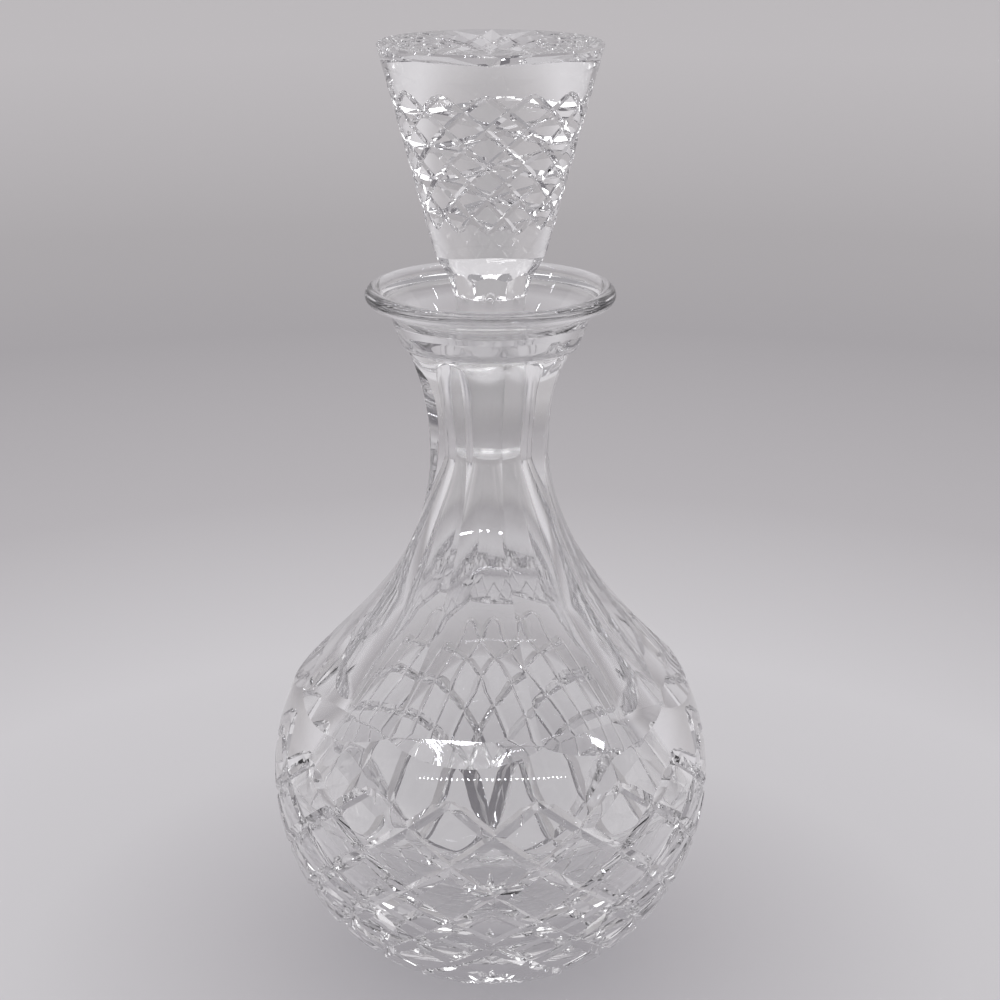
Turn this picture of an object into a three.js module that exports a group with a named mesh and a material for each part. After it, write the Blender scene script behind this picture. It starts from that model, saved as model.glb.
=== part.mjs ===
// A cut crystal decanter with its stopper, seated in the ground socket of the neck.
// Millimetres, +Z up. The origin is the centre of the base, and azimuth 0 faces the viewer at -Y.

import * as THREE from 'three';

// Bowl: a thick ball with a flat base
const BOWL_RADIUS = 67.5;
const BOWL_WALL = 10;
const BASE_RADIUS = 27.5;
const FLOOR_THICKNESS = 12;

// Diamonds of the bowl: two families of crossing mitre cuts
const DIAMONDS_AROUND = 16;
const DIAMOND_ROWS = 9;
const DIAMOND_TOP_LATITUDE = 17;
const DIAMOND_FIRST_CROSSING = 0;
const MITRE_WIDTH = 3.8;
const MITRE_DEPTH = 1.7;
const BASE_BAND = 5;

// Star cut under the base
const STAR_RAYS = 16;
const BASE_STAR_RADIUS = 23;
const BASE_STAR_NOTCH = 9.5;
const BASE_STAR_DEPTH = 2.6;

// Neck: eight long flutes, from the shoulder of the bowl up to the collar
const FLUTES = 8;
const FLUTE_PHASE = 0.25;
const FLUTE_TURN = 2.25;
const RIDGE_END_LATITUDE = 30;
const LENS_LOW_LATITUDE = 24.9;
const LENS_TIP_MARGIN = 0.5;
const SHOULDER_SLOPE = 46;
const SHOULDER_SWEEP = 20;
const NECK_SWEEP = 32;
const WAIST_RADIUS = 18.4;
const WAIST_ABOVE_BOWL = 37;
const NECK_TOP_RADIUS = 24.4;
const NECK_TOP_ABOVE_WAIST = 31;
const NECK_TOP_FLARE = 7;
const FLUTE_TOP_DROP = 2.7;

// Inside: the bore widens evenly down to its foot, and from there a belly sweeps out to the widest ring
const BORE_FOOT_RADIUS = 25.8;
const BORE_FOOT_BELOW_WAIST = 47;
const BORE_SWELL = 1.1;
const BELLY_SWEEP_HIGH = 14.2;
const BELLY_SWEEP_LOW = 4.5;

// Collar, flared mouth and rolled lip
const COLLAR_LOW_RADIUS = 26.2;
const COLLAR_HIGH_RADIUS = 28.6;
const COLLAR_STEP = 1.7;
const COLLAR_HEIGHT = 6.3;
const LIP_RADIUS = 36.6;
const LIP_ROLL = 2.4;
const LIP_ABOVE_COLLAR = 8.4;

// Inside of the mouth: a straight funnel down to a nearly level shelf round the socket
const SOCKET_MOUTH_DEPTH = 17;
const SHELF_RADIUS = 17.5;
const SHELF_RISE = 0.3;
const FUNNEL_FOOT_RADIUS = 21.5;
const FUNNEL_FOOT_RISE = 2.9;

// Ground seat of the stopper
const PEG_TOP_RADIUS = 10.4;
const PEG_BOTTOM_RADIUS = 8.3;
const PEG_LENGTH = 47.5;
const PEG_CHAMFER = 0.8;
const SEAT_CLEARANCE = 0.3;
const SOCKET_PAST_PEG = 3;
const PEG_TOP_BELOW_LIP = 2.4;

// Stopper head: a cone that widens upwards, faceted at its foot and cut with diamonds
const STOPPER_TURN = -2;
const HEAD_RADIUS = 32.3;
const HEAD_HEIGHT = 72;
const HEAD_FOOT_RADIUS = 13;
const HEAD_BEVEL = 0.6;
const FACETS = 8;
const FACET_LOW_STEP = 0.1;
const FACET_LOW_RISE = 0.5;
const FACET_EDGE_RADIUS = 12.1;
const FACET_EDGE_HEIGHT = 7.2;
const FACET_TOP_HEIGHT = 12.6;
const FACET_SCALLOP = 1.1;
const HEAD_DIAMONDS_AROUND = 14;
const HEAD_DIAMOND_ROWS = 8;
const HEAD_FIRST_CROSSING = 1;
const HEAD_DIAMOND_TURN = -3;
const HEAD_DIAMONDS_BOTTOM = 21;
const HEAD_DIAMONDS_TOP = 61;
const HEAD_MITRE_WIDTH = 1.9;
const HEAD_MITRE_DEPTH = 0.9;
const HEAD_STAR_NOTCH = 14;
const HEAD_STAR_DEPTH = 2.6;
const HEAD_STAR_MARGIN = 0.6;

// Number of flat facets that round surfaces are made of, and where along its curve the neck has rings
const ROUND_STEPS = 64;
const HOLLOW_STEPS = 32;
const COVE_STEPS = 4;
const BEND_STEPS = 3;
const BORE_STEPS = 4;
const BELLY_STEPS = 8;
const POINT_FRACTION = 0.1;
const SHOULDER_SHARES = [0, 0.08, 0.16, 0.26, 0.37, 0.48, 0.6, 0.74, 0.88];
const NECK_SHARES = [0, 0.2, 0.4, 0.6, 0.8, 1];
const ROLL_ANGLES = [-50, -20, 10, 40, 70, 100, 130, 150];
const HOLLOW_LATITUDES = [-18, -36, -54, -72];

const GLASS_COLOUR = 0xe3e8ea;

const bowlCentre = Math.sqrt(BOWL_RADIUS ** 2 - BASE_RADIUS ** 2);
const waistHeight = bowlCentre + BOWL_RADIUS + WAIST_ABOVE_BOWL;
const neckTopHeight = waistHeight + NECK_TOP_ABOVE_WAIST;
const collarLowHeight = neckTopHeight + COLLAR_STEP;
const collarHighHeight = collarLowHeight + COLLAR_HEIGHT;
const rollHeight = collarHighHeight + LIP_ABOVE_COLLAR;
const lipTopHeight = rollHeight + LIP_ROLL;
const pegTopHeight = lipTopHeight - PEG_TOP_BELOW_LIP;
const pegBottomHeight = pegTopHeight - PEG_LENGTH;
const socketMouthHeight = lipTopHeight - SOCKET_MOUTH_DEPTH;
const socketBottomHeight = pegBottomHeight - SOCKET_PAST_PEG;

const radians = THREE.MathUtils.degToRad;
const lerp = THREE.MathUtils.lerp;
const fullTurn = radians(360);

// Profiles are curves of points whose x is the distance from the axis and whose y is the height
function profilePoint(radius, height) {
  return new THREE.Vector2(radius, height);
}

function ballPoint(ballRadius, latitudeDegrees) {
  const latitude = radians(latitudeDegrees);
  return profilePoint(ballRadius * Math.cos(latitude), bowlCentre + ballRadius * Math.sin(latitude));
}

function fromPoint(point, directionDegrees, distance) {
  const direction = radians(directionDegrees);
  return profilePoint(point.x + distance * Math.cos(direction), point.y + distance * Math.sin(direction));
}

function pegRadiusAt(height) {
  const share = (height - pegBottomHeight) / PEG_LENGTH;
  return lerp(PEG_BOTTOM_RADIUS, PEG_TOP_RADIUS, share);
}

// A skin is one closed surface: rings of points around the axis, joined by triangles.
// Rings follow each other outwards from the centre below, up the outside, and down any hollow.
function newSkin() {
  return { points: [], faces: [] };
}

function addPoint(skin, point, azimuth) {
  skin.points.push(point.x * Math.sin(azimuth), -point.x * Math.cos(azimuth), point.y);
  return skin.points.length / 3 - 1;
}

function addRing(skin, steps, pointAt, turn = 0) {
  const ring = [];
  for (let step = 0; step < steps; step += 1) {
    const azimuth = (step / steps) * fullTurn;
    ring.push(addPoint(skin, pointAt(azimuth), azimuth + turn));
  }
  return ring;
}

// Walks round both rings together and always steps on the one that lags. A ring of one point is a tip.
function joinRings(skin, first, second) {
  const stepsOf = (ring) => (ring.length > 1 ? ring.length : 0);
  const pointOf = (ring, step) => ring[step % ring.length];
  const firstSteps = stepsOf(first);
  const secondSteps = stepsOf(second);
  let a = 0;
  let b = 0;
  while (a < firstSteps || b < secondSteps) {
    const firstLags = a < firstSteps && (a + 1) / firstSteps <= (b + 1) / secondSteps;
    if (b >= secondSteps || firstLags) {
      skin.faces.push(pointOf(first, a), pointOf(first, a + 1), pointOf(second, b));
      a += 1;
    } else {
      skin.faces.push(pointOf(first, a), pointOf(second, b + 1), pointOf(second, b));
      b += 1;
    }
  }
}

// Joins a chain of plain rings, one for each profile point, and returns the last of them
function revolve(skin, startRing, steps, profile) {
  let last = startRing;
  for (const point of profile) {
    const ring = addRing(skin, steps, () => point);
    joinRings(skin, last, ring);
    last = ring;
  }
  return last;
}

// A star cut: mitre rays that run from a deep centre out to points, with flat glass between them
function starOutline(rays, notchRadius, pointRadius, height) {
  return (azimuth) => {
    const step = Math.round((azimuth / fullTurn) * rays * 2);
    return profilePoint(step % 2 === 0 ? pointRadius : notchRadius, height);
  };
}

// A net of diamonds between two families of mitre cuts. They cross on every other column of a row,
// and firstCrossing is the first such column of the lowest row.
// surface(row) gives the profile point of a row and its outward direction in the profile.
function diamondNet(skin, net, surface) {
  const { around, rows, firstCrossing, turn, mitreWidth, mitreDepth } = net;
  const columns = around * 2;
  const azimuthAt = (column) => (column / columns) * fullTurn + turn;
  const isCrossing = (column, row) => (column + row + firstCrossing) % 2 === 0;
  const isEnd = (row) => row === 0 || row === rows;

  function flatPoint(column, row) {
    return addPoint(skin, surface(row).point, azimuthAt(column));
  }

  function crossingPoint(column, row) {
    const { point, outward } = surface(row);
    const depth = isEnd(row) ? 0 : mitreDepth;
    return addPoint(skin, point.clone().addScaledVector(outward, -depth), azimuthAt(column));
  }

  // Share of the way from a crossing to the middle of a diamond that the cuts take
  function cornerShare(row) {
    const width = (surface(row).point.x * fullTurn) / columns;
    const above = surface(Math.min(row + 1, rows)).point;
    const below = surface(Math.max(row - 1, 0)).point;
    const height = above.distanceTo(below) / 2;
    return ((mitreWidth / 2) * Math.hypot(width, height)) / (width * height);
  }

  const knots = [];
  const alongs = [];
  for (let row = 0; row <= rows; row += 1) {
    const share = isEnd(row) ? POINT_FRACTION : cornerShare(row);
    const knotRow = [];
    const alongRow = [];
    for (let column = 0; column < columns; column += 1) {
      const crossing = isCrossing(column, row);
      knotRow.push(crossing ? crossingPoint(column, row) : flatPoint(column, row));
      alongRow.push(flatPoint(column + (crossing ? share : 1 - share), row));
    }
    knots.push(knotRow);
    alongs.push(alongRow);
  }

  const ups = [];
  for (let row = 0; row < rows; row += 1) {
    const share = cornerShare(row + 0.5);
    const upRow = [];
    for (let column = 0; column < columns; column += 1) {
      upRow.push(flatPoint(column, row + (isCrossing(column, row) ? share : 1 - share)));
    }
    ups.push(upRow);
  }

  // Each cell holds one stretch of a cut, from crossing to crossing, and a quarter of two diamonds
  for (let row = 0; row < rows; row += 1) {
    for (let column = 0; column < columns; column += 1) {
      const right = (column + 1) % columns;
      const low = [knots[row][column], knots[row][right]];
      const high = [knots[row + 1][column], knots[row + 1][right]];
      const sides = [ups[row][column], ups[row][right]];
      const rising = isCrossing(column, row);
      const near = rising ? 0 : 1;
      const far = 1 - near;
      const faces = [
        [alongs[row][column], low[far], sides[far]],
        [low[near], alongs[row][column], sides[far]],
        [low[near], sides[far], high[far]],
        [low[near], high[far], alongs[row + 1][column]],
        [low[near], alongs[row + 1][column], sides[near]],
        [sides[near], alongs[row + 1][column], high[near]],
      ];
      for (const face of faces) {
        skin.faces.push(...(rising ? face : face.reverse()));
      }
    }
  }

  const edge = (row) => knots[row].flatMap((knot, column) => [knot, alongs[row][column]]);
  return { bottom: edge(0), top: edge(rows) };
}

function skinGeometry(skin) {
  const geometry = new THREE.BufferGeometry();
  geometry.setAttribute('position', new THREE.Float32BufferAttribute(skin.points, 3));
  geometry.setIndex(skin.faces);
  geometry.computeVertexNormals();
  return geometry;
}

function glassMesh(name, skin) {
  const material = new THREE.MeshStandardMaterial({
    color: GLASS_COLOUR,
    roughness: 0.04,
    metalness: 0,
    transparent: true,
    opacity: 0.35,
    flatShading: true,
  });
  const mesh = new THREE.Mesh(skinGeometry(skin), material);
  mesh.name = name;
  return mesh;
}

// Flat base with its star, up to the lowest row of diamonds
function cutBase(skin) {
  const centre = [addPoint(skin, profilePoint(0, BASE_STAR_DEPTH), 0)];
  const outline = starOutline(STAR_RAYS, BASE_STAR_NOTCH, BASE_STAR_RADIUS, 0);
  const star = addRing(skin, STAR_RAYS * 2, outline);
  joinRings(skin, centre, star);
  return revolve(skin, star, ROUND_STEPS, [profilePoint(BASE_RADIUS, 0)]);
}

// The ball of the bowl between the base and the flutes, covered with diamonds
function cutBowl(skin, baseRing) {
  const baseLatitude = -THREE.MathUtils.radToDeg(Math.acos(BASE_RADIUS / BOWL_RADIUS));
  const bottomLatitude = baseLatitude + THREE.MathUtils.radToDeg(BASE_BAND / BOWL_RADIUS);
  const surface = (row) => {
    const latitude = lerp(bottomLatitude, DIAMOND_TOP_LATITUDE, row / DIAMOND_ROWS);
    const outward = fromPoint(profilePoint(0, 0), latitude, 1);
    return { point: ballPoint(BOWL_RADIUS, latitude), outward };
  };
  const net = {
    around: DIAMONDS_AROUND,
    rows: DIAMOND_ROWS,
    firstCrossing: DIAMOND_FIRST_CROSSING,
    turn: 0,
    mitreWidth: MITRE_WIDTH,
    mitreDepth: MITRE_DEPTH,
  };
  const edges = diamondNet(skin, net, surface);
  joinRings(skin, baseRing, edges.bottom);
  return edges.top;
}

// The ridges between the flutes fall from the neck's top to the waist and spread to the shoulder
function ridgeCurves() {
  const shoulder = ballPoint(BOWL_RADIUS, RIDGE_END_LATITUDE);
  const waist = profilePoint(WAIST_RADIUS, waistHeight);
  return [
    new THREE.CubicBezierCurve(
      shoulder,
      fromPoint(shoulder, 180 - SHOULDER_SLOPE, SHOULDER_SWEEP),
      profilePoint(WAIST_RADIUS, waistHeight - NECK_SWEEP),
      waist,
    ),
    new THREE.CubicBezierCurve(
      waist,
      profilePoint(WAIST_RADIUS, waistHeight + NECK_TOP_ABOVE_WAIST / 2),
      profilePoint((WAIST_RADIUS + NECK_TOP_RADIUS) / 2, neckTopHeight - NECK_TOP_FLARE),
      profilePoint(NECK_TOP_RADIUS, neckTopHeight),
    ),
  ];
}

// Long flutes are flat facets. Each ends in a lens-shaped facet on the shoulder below and in an arch
// under the collar above.
function cutFlutes(skin, bowlRing) {
  const flatShare = Math.cos(fullTurn / FLUTES / 2);
  const turn = radians(FLUTE_TURN);
  const towardsRidge = (azimuth) => {
    const acrossFlute = Math.abs((((azimuth / fullTurn) * FLUTES + FLUTE_PHASE) % 1) * 2 - 1);
    return (1 - acrossFlute) ** 2;
  };
  const lensRing = addRing(skin, ROUND_STEPS, (azimuth) => {
    const tipLatitude = RIDGE_END_LATITUDE - LENS_TIP_MARGIN;
    return ballPoint(BOWL_RADIUS, lerp(LENS_LOW_LATITUDE, tipLatitude, towardsRidge(azimuth)));
  }, turn);
  joinRings(skin, bowlRing, lensRing);
  const [lower, upper] = ridgeCurves();
  const stations = [
    ...SHOULDER_SHARES.map((share) => ({ ridge: lower.getPoint(share), drop: 0 })),
    ...NECK_SHARES.map((share) => ({ ridge: upper.getPoint(share), drop: FLUTE_TOP_DROP * share ** 3 })),
  ];
  let last = lensRing;
  for (const { ridge, drop } of stations) {
    const floor = profilePoint(ridge.x * flatShare, ridge.y - drop);
    const fluteAt = (azimuth) => floor.clone().lerp(ridge, towardsRidge(azimuth));
    const ring = addRing(skin, ROUND_STEPS, fluteAt, turn);
    joinRings(skin, last, ring);
    last = ring;
  }
  return last;
}

// Collar ring, the cove under the flare, and the rolled lip
function collarAndLip(skin, neckRing) {
  const rollCentre = profilePoint(LIP_RADIUS - LIP_ROLL, rollHeight);
  const roll = ROLL_ANGLES.map((angle) => fromPoint(rollCentre, angle, LIP_ROLL));
  const coveStart = profilePoint(COLLAR_HIGH_RADIUS, collarHighHeight);
  const cove = new THREE.QuadraticBezierCurve(
    coveStart,
    profilePoint(COLLAR_HIGH_RADIUS + LIP_ROLL / 4, rollHeight - LIP_ROLL),
    roll[0],
  );
  return revolve(skin, neckRing, ROUND_STEPS, [
    profilePoint(NECK_TOP_RADIUS, neckTopHeight + COLLAR_STEP / 2),
    profilePoint(COLLAR_LOW_RADIUS, collarLowHeight),
    ...cove.getPoints(COVE_STEPS),
    ...roll.slice(1),
  ]);
}

// Mouth: the funnel runs from the lip down to a bend, and the shelf from the bend in to the socket
function mouthProfile(socketMouth) {
  const lipEnd = profilePoint(LIP_RADIUS - LIP_ROLL * 2, rollHeight);
  const funnelFoot = profilePoint(FUNNEL_FOOT_RADIUS, socketMouth.y + FUNNEL_FOOT_RISE);
  const shelfEdge = profilePoint(SHELF_RADIUS, socketMouth.y + SHELF_RISE);
  const cornerShare = (lipEnd.y - shelfEdge.y) / (lipEnd.y - funnelFoot.y);
  const corner = lipEnd.clone().lerp(funnelFoot, cornerShare);
  const bend = new THREE.QuadraticBezierCurve(funnelFoot, corner, shelfEdge);
  return [lipEnd, ...bend.getPoints(BEND_STEPS), socketMouth];
}

// Bore below the socket, a little swollen in its middle, and the belly that follows on from it
function boreProfile(socketBottom, hollowRadius) {
  const boreFoot = profilePoint(BORE_FOOT_RADIUS, waistHeight - BORE_FOOT_BELOW_WAIST);
  const swell = socketBottom.clone().lerp(boreFoot, 0.5);
  swell.x += BORE_SWELL;
  const onwards = boreFoot.clone().sub(swell).setLength(BELLY_SWEEP_HIGH);
  const bore = new THREE.QuadraticBezierCurve(socketBottom, swell, boreFoot);
  const belly = new THREE.CubicBezierCurve(
    boreFoot,
    boreFoot.clone().add(onwards),
    profilePoint(hollowRadius, bowlCentre + BELLY_SWEEP_LOW),
    profilePoint(hollowRadius, bowlCentre),
  );
  return [...bore.getPoints(BORE_STEPS), ...belly.getPoints(BELLY_STEPS).slice(1)];
}

// The inside: mouth, ground socket, bore of the neck and the hollow of the bowl
function hollowSide(skin, lipRing) {
  const socketMouth = profilePoint(pegRadiusAt(socketMouthHeight) + SEAT_CLEARANCE, socketMouthHeight);
  const socketBottom = profilePoint(pegRadiusAt(socketBottomHeight) + SEAT_CLEARANCE, socketBottomHeight);
  const hollowRadius = BOWL_RADIUS - BOWL_WALL;
  const hollowDepth = bowlCentre - FLOOR_THICKNESS;
  const lowerHollow = HOLLOW_LATITUDES.map((latitude) => {
    const onBall = ballPoint(hollowRadius, latitude);
    return profilePoint(onBall.x, bowlCentre + (onBall.y - bowlCentre) * (hollowDepth / hollowRadius));
  });
  const inside = revolve(skin, lipRing, HOLLOW_STEPS, [
    ...mouthProfile(socketMouth),
    ...boreProfile(socketBottom, hollowRadius),
    ...lowerHollow,
  ]);
  const floorCentre = [addPoint(skin, profilePoint(0, FLOOR_THICKNESS), 0)];
  joinRings(skin, inside, floorCentre);
}

function decanterBody() {
  const skin = newSkin();
  const baseRing = cutBase(skin);
  const bowlRing = cutBowl(skin, baseRing);
  const neckRing = cutFlutes(skin, bowlRing);
  const lipRing = collarAndLip(skin, neckRing);
  hollowSide(skin, lipRing);
  return glassMesh('decanter_body', skin);
}

// Ground peg, from its flat end up to the foot of the head
function groundPeg(skin) {
  const centre = [addPoint(skin, profilePoint(0, pegBottomHeight), 0)];
  return revolve(skin, centre, ROUND_STEPS, [
    profilePoint(PEG_BOTTOM_RADIUS - PEG_CHAMFER, pegBottomHeight),
    profilePoint(pegRadiusAt(pegBottomHeight + PEG_CHAMFER), pegBottomHeight + PEG_CHAMFER),
    profilePoint(PEG_TOP_RADIUS, pegTopHeight),
  ]);
}

function headRadiusAt(rise) {
  return lerp(HEAD_FOOT_RADIUS, HEAD_RADIUS, rise / HEAD_HEIGHT);
}

// Two tiers of flat facets at the foot of the head, whose edges are scalloped
function facetedFoot(skin, pegRing) {
  const facetRadius = (azimuth, apothem) => {
    const acrossFacet = ((azimuth / fullTurn) * FACETS + 0.5) % 1;
    return apothem / Math.cos(((acrossFacet - 0.5) * fullTurn) / FACETS);
  };
  const cornerWeight = (azimuth) => (1 - Math.cos(azimuth * FACETS)) / 2;
  const tiers = [
    { rise: FACET_LOW_RISE, apothem: PEG_TOP_RADIUS + FACET_LOW_STEP, scallop: 0 },
    { rise: FACET_EDGE_HEIGHT, apothem: FACET_EDGE_RADIUS, scallop: FACET_SCALLOP },
  ];
  let last = pegRing;
  for (const { rise, apothem, scallop } of tiers) {
    const ring = addRing(skin, ROUND_STEPS, (azimuth) => {
      const height = pegTopHeight + rise - scallop * cornerWeight(azimuth);
      return profilePoint(facetRadius(azimuth, apothem), height);
    });
    joinRings(skin, last, ring);
    last = ring;
  }
  // The upper tier ends where its planes run out of the cone
  const coneAtTop = headRadiusAt(FACET_TOP_HEIGHT);
  const slope = (coneAtTop - FACET_EDGE_RADIUS) / (FACET_TOP_HEIGHT - FACET_EDGE_HEIGHT);
  const coneSlope = (HEAD_RADIUS - HEAD_FOOT_RADIUS) / HEAD_HEIGHT;
  const runOut = addRing(skin, ROUND_STEPS, (azimuth) => {
    const stretch = facetRadius(azimuth, 1);
    const edgeShortfall = headRadiusAt(FACET_EDGE_HEIGHT) - FACET_EDGE_RADIUS * stretch;
    const rise = FACET_EDGE_HEIGHT + edgeShortfall / (slope * stretch - coneSlope);
    return profilePoint(headRadiusAt(rise), pegTopHeight + rise);
  });
  joinRings(skin, last, runOut);
  return runOut;
}

// The cone with its diamonds and the plain band above them
function cutHead(skin, footRing) {
  const taper = Math.atan2(HEAD_RADIUS - HEAD_FOOT_RADIUS, HEAD_HEIGHT);
  const outward = profilePoint(Math.cos(taper), -Math.sin(taper));
  const surface = (row) => {
    const rise = lerp(HEAD_DIAMONDS_BOTTOM, HEAD_DIAMONDS_TOP, row / HEAD_DIAMOND_ROWS);
    return { point: profilePoint(headRadiusAt(rise), pegTopHeight + rise), outward };
  };
  const net = {
    around: HEAD_DIAMONDS_AROUND,
    rows: HEAD_DIAMOND_ROWS,
    firstCrossing: HEAD_FIRST_CROSSING,
    turn: radians(HEAD_DIAMOND_TURN),
    mitreWidth: HEAD_MITRE_WIDTH,
    mitreDepth: HEAD_MITRE_DEPTH,
  };
  const edges = diamondNet(skin, net, surface);
  joinRings(skin, footRing, edges.bottom);
  return edges.top;
}

// Flat top of the head: a bevelled rim and a star whose rays reach almost to it
function starTop(skin, headRing) {
  const topHeight = pegTopHeight + HEAD_HEIGHT;
  const bevelRise = HEAD_HEIGHT - HEAD_BEVEL;
  const flatRadius = HEAD_RADIUS - HEAD_BEVEL;
  const rim = revolve(skin, headRing, ROUND_STEPS, [
    profilePoint(headRadiusAt(bevelRise), pegTopHeight + bevelRise),
    profilePoint(flatRadius, topHeight),
  ]);
  const outline = starOutline(STAR_RAYS, HEAD_STAR_NOTCH, flatRadius - HEAD_STAR_MARGIN, topHeight);
  const star = addRing(skin, STAR_RAYS * 2, outline);
  joinRings(skin, rim, star);
  const centre = [addPoint(skin, profilePoint(0, topHeight - HEAD_STAR_DEPTH), 0)];
  joinRings(skin, star, centre);
}

function stopper() {
  const skin = newSkin();
  const pegRing = groundPeg(skin);
  const footRing = facetedFoot(skin, pegRing);
  const headRing = cutHead(skin, footRing);
  starTop(skin, headRing);
  const mesh = glassMesh('stopper', skin);
  mesh.rotation.z = radians(STOPPER_TURN);
  return mesh;
}

const decanter = new THREE.Group();
decanter.add(decanterBody(), stopper());

export default decanter;
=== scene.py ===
# %% [markdown]
# # A cut crystal decanter with its stopper
#
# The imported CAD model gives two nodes, the decanter's body and its stopper, which lifts out of the neck.
# Glass shows every flaw of a mesh, because light bends at each face. So both nodes are dressed in fine
# skins of the same main shape, worked out with numpy, and given a lead crystal material.

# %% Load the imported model
import math

import bpy
import numpy as np
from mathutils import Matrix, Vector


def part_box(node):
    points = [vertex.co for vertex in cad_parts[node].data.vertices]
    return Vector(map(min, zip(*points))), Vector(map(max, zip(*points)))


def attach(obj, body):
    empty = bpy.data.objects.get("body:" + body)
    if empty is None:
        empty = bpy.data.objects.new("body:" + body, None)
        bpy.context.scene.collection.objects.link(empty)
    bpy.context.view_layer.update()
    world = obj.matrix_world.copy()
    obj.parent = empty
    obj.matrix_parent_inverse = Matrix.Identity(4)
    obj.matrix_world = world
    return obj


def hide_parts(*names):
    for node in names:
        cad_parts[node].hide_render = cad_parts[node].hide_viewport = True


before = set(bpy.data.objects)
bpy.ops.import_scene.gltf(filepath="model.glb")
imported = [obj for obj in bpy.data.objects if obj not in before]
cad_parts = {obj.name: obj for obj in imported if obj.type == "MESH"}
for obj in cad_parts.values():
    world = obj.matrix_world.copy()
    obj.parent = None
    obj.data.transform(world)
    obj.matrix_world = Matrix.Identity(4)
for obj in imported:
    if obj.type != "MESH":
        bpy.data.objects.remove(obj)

scene = bpy.context.scene
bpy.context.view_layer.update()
_, body_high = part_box("decanter_body")
stopper_low, stopper_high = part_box("stopper")

# %% [markdown]
# ## Sizes
#
# All sizes are in millimetres and degrees, and are multiplied by MM where Blender wants metres. Those in
# the next three cells repeat the CAD model's driving dimensions, except HEAD_DIAMOND_TURN, which turns the
# stopper's net as the photograph shows it. Heights of whole parts come from the boxes of the imported parts.

# %% Sizes of the bowl and its cuts
MM = 0.001

BOWL_RADIUS = 67.5
BOWL_WALL = 10
BASE_RADIUS = 27.5
FLOOR_THICKNESS = 12
DIAMONDS_AROUND = 16
DIAMOND_ROWS = 9
DIAMOND_TOP_LATITUDE = 17
MITRE_DEPTH = 1.7
BASE_BAND = 5
STAR_RAYS = 16
BASE_STAR_RADIUS = 23
BASE_STAR_NOTCH = 9.5
BASE_STAR_DEPTH = 2.6
BORE_FOOT_RADIUS = 25.8
BORE_FOOT_BELOW_WAIST = 47
BORE_SWELL = 1.1
BELLY_SWEEP_HIGH = 14.2
BELLY_SWEEP_LOW = 4.5
BOWL_CENTRE = math.sqrt(BOWL_RADIUS**2 - BASE_RADIUS**2)
print(f"bowl {2 * BOWL_RADIUS} mm wide, its centre {BOWL_CENTRE:.1f} mm up")

# %% Sizes of the neck, collar and lip
FLUTES = 8
FLUTE_TURN = 2.25
RIDGE_END_LATITUDE = 30
LENS_LOW_LATITUDE = 24.9
LENS_TIP_MARGIN = 0.5
SHOULDER_SLOPE = 46
SHOULDER_SWEEP = 20
NECK_SWEEP = 32
WAIST_RADIUS = 18.4
WAIST_ABOVE_BOWL = 37
NECK_TOP_RADIUS = 24.4
NECK_TOP_ABOVE_WAIST = 31
NECK_TOP_FLARE = 7
FLUTE_TOP_DROP = 2.7
COLLAR_LOW_RADIUS = 26.2
COLLAR_HIGH_RADIUS = 28.6
COLLAR_STEP = 1.7
COLLAR_HEIGHT = 6.3
LIP_RADIUS = 36.6
LIP_ROLL = 2.4
SOCKET_MOUTH_DEPTH = 17
SHELF_RADIUS = 17.5
SHELF_RISE = 0.3
FUNNEL_FOOT_RADIUS = 21.5
FUNNEL_FOOT_RISE = 2.9
WAIST_HEIGHT = BOWL_CENTRE + BOWL_RADIUS + WAIST_ABOVE_BOWL
NECK_TOP_HEIGHT = WAIST_HEIGHT + NECK_TOP_ABOVE_WAIST
LIP_TOP = body_high[2] / MM
ROLL_HEIGHT = LIP_TOP - LIP_ROLL
SOCKET_MOUTH = LIP_TOP - SOCKET_MOUTH_DEPTH
print(f"waist at {WAIST_HEIGHT:.1f} mm, lip at {LIP_TOP:.1f} mm")

# %% Sizes of the ground seat and the stopper
PEG_TOP_RADIUS = 10.4
PEG_BOTTOM_RADIUS = 8.3
PEG_LENGTH = 47.5
PEG_CHAMFER = 0.8
SEAT_CLEARANCE = 0.3
SOCKET_PAST_PEG = 3
STOPPER_TURN = -2
HEAD_RADIUS = 32.3
HEAD_HEIGHT = 72
HEAD_FOOT_RADIUS = 13
HEAD_BEVEL = 0.6
FACETS = 8
FACET_LOW_STEP = 0.1
FACET_LOW_RISE = 0.5
FACET_EDGE_RADIUS = 12.1
FACET_EDGE_HEIGHT = 7.2
FACET_TOP_HEIGHT = 12.6
FACET_SCALLOP = 1.1
HEAD_DIAMONDS_AROUND = 14
HEAD_DIAMOND_ROWS = 8
HEAD_DIAMOND_TURN = -1.5
HEAD_DIAMONDS_BOTTOM = 21
HEAD_DIAMONDS_TOP = 61
HEAD_MITRE_DEPTH = 0.9
HEAD_STAR_NOTCH = 14
HEAD_STAR_DEPTH = 2.6
HEAD_STAR_MARGIN = 0.6
PEG_BOTTOM = stopper_low[2] / MM
PEG_TOP = PEG_BOTTOM + PEG_LENGTH
SOCKET_BOTTOM = PEG_BOTTOM - SOCKET_PAST_PEG
HEAD_TOP = stopper_high[2] / MM
print(f"stopper {PEG_BOTTOM:.1f} to {HEAD_TOP:.1f} mm, of which the peg reaches {PEG_TOP:.1f} mm")

# %% [markdown]
# ## Skins from rings
#
# Each glass piece is one closed skin: rings of points about the upright axis, which follow each other
# from the middle of the foot, up the outside, over the rim and down the inside. Booleans would also cut
# the grooves, but they leave thin slivers that glitter in glass. On a grid every groove runs along the
# edges of the mesh, so its flanks are flat and its ridges are sharp.

# %% Curves and rings
def lerp(first, second, share):
    """The first value plus a share of the way to the second."""
    return first + (second - first) * share


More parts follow.
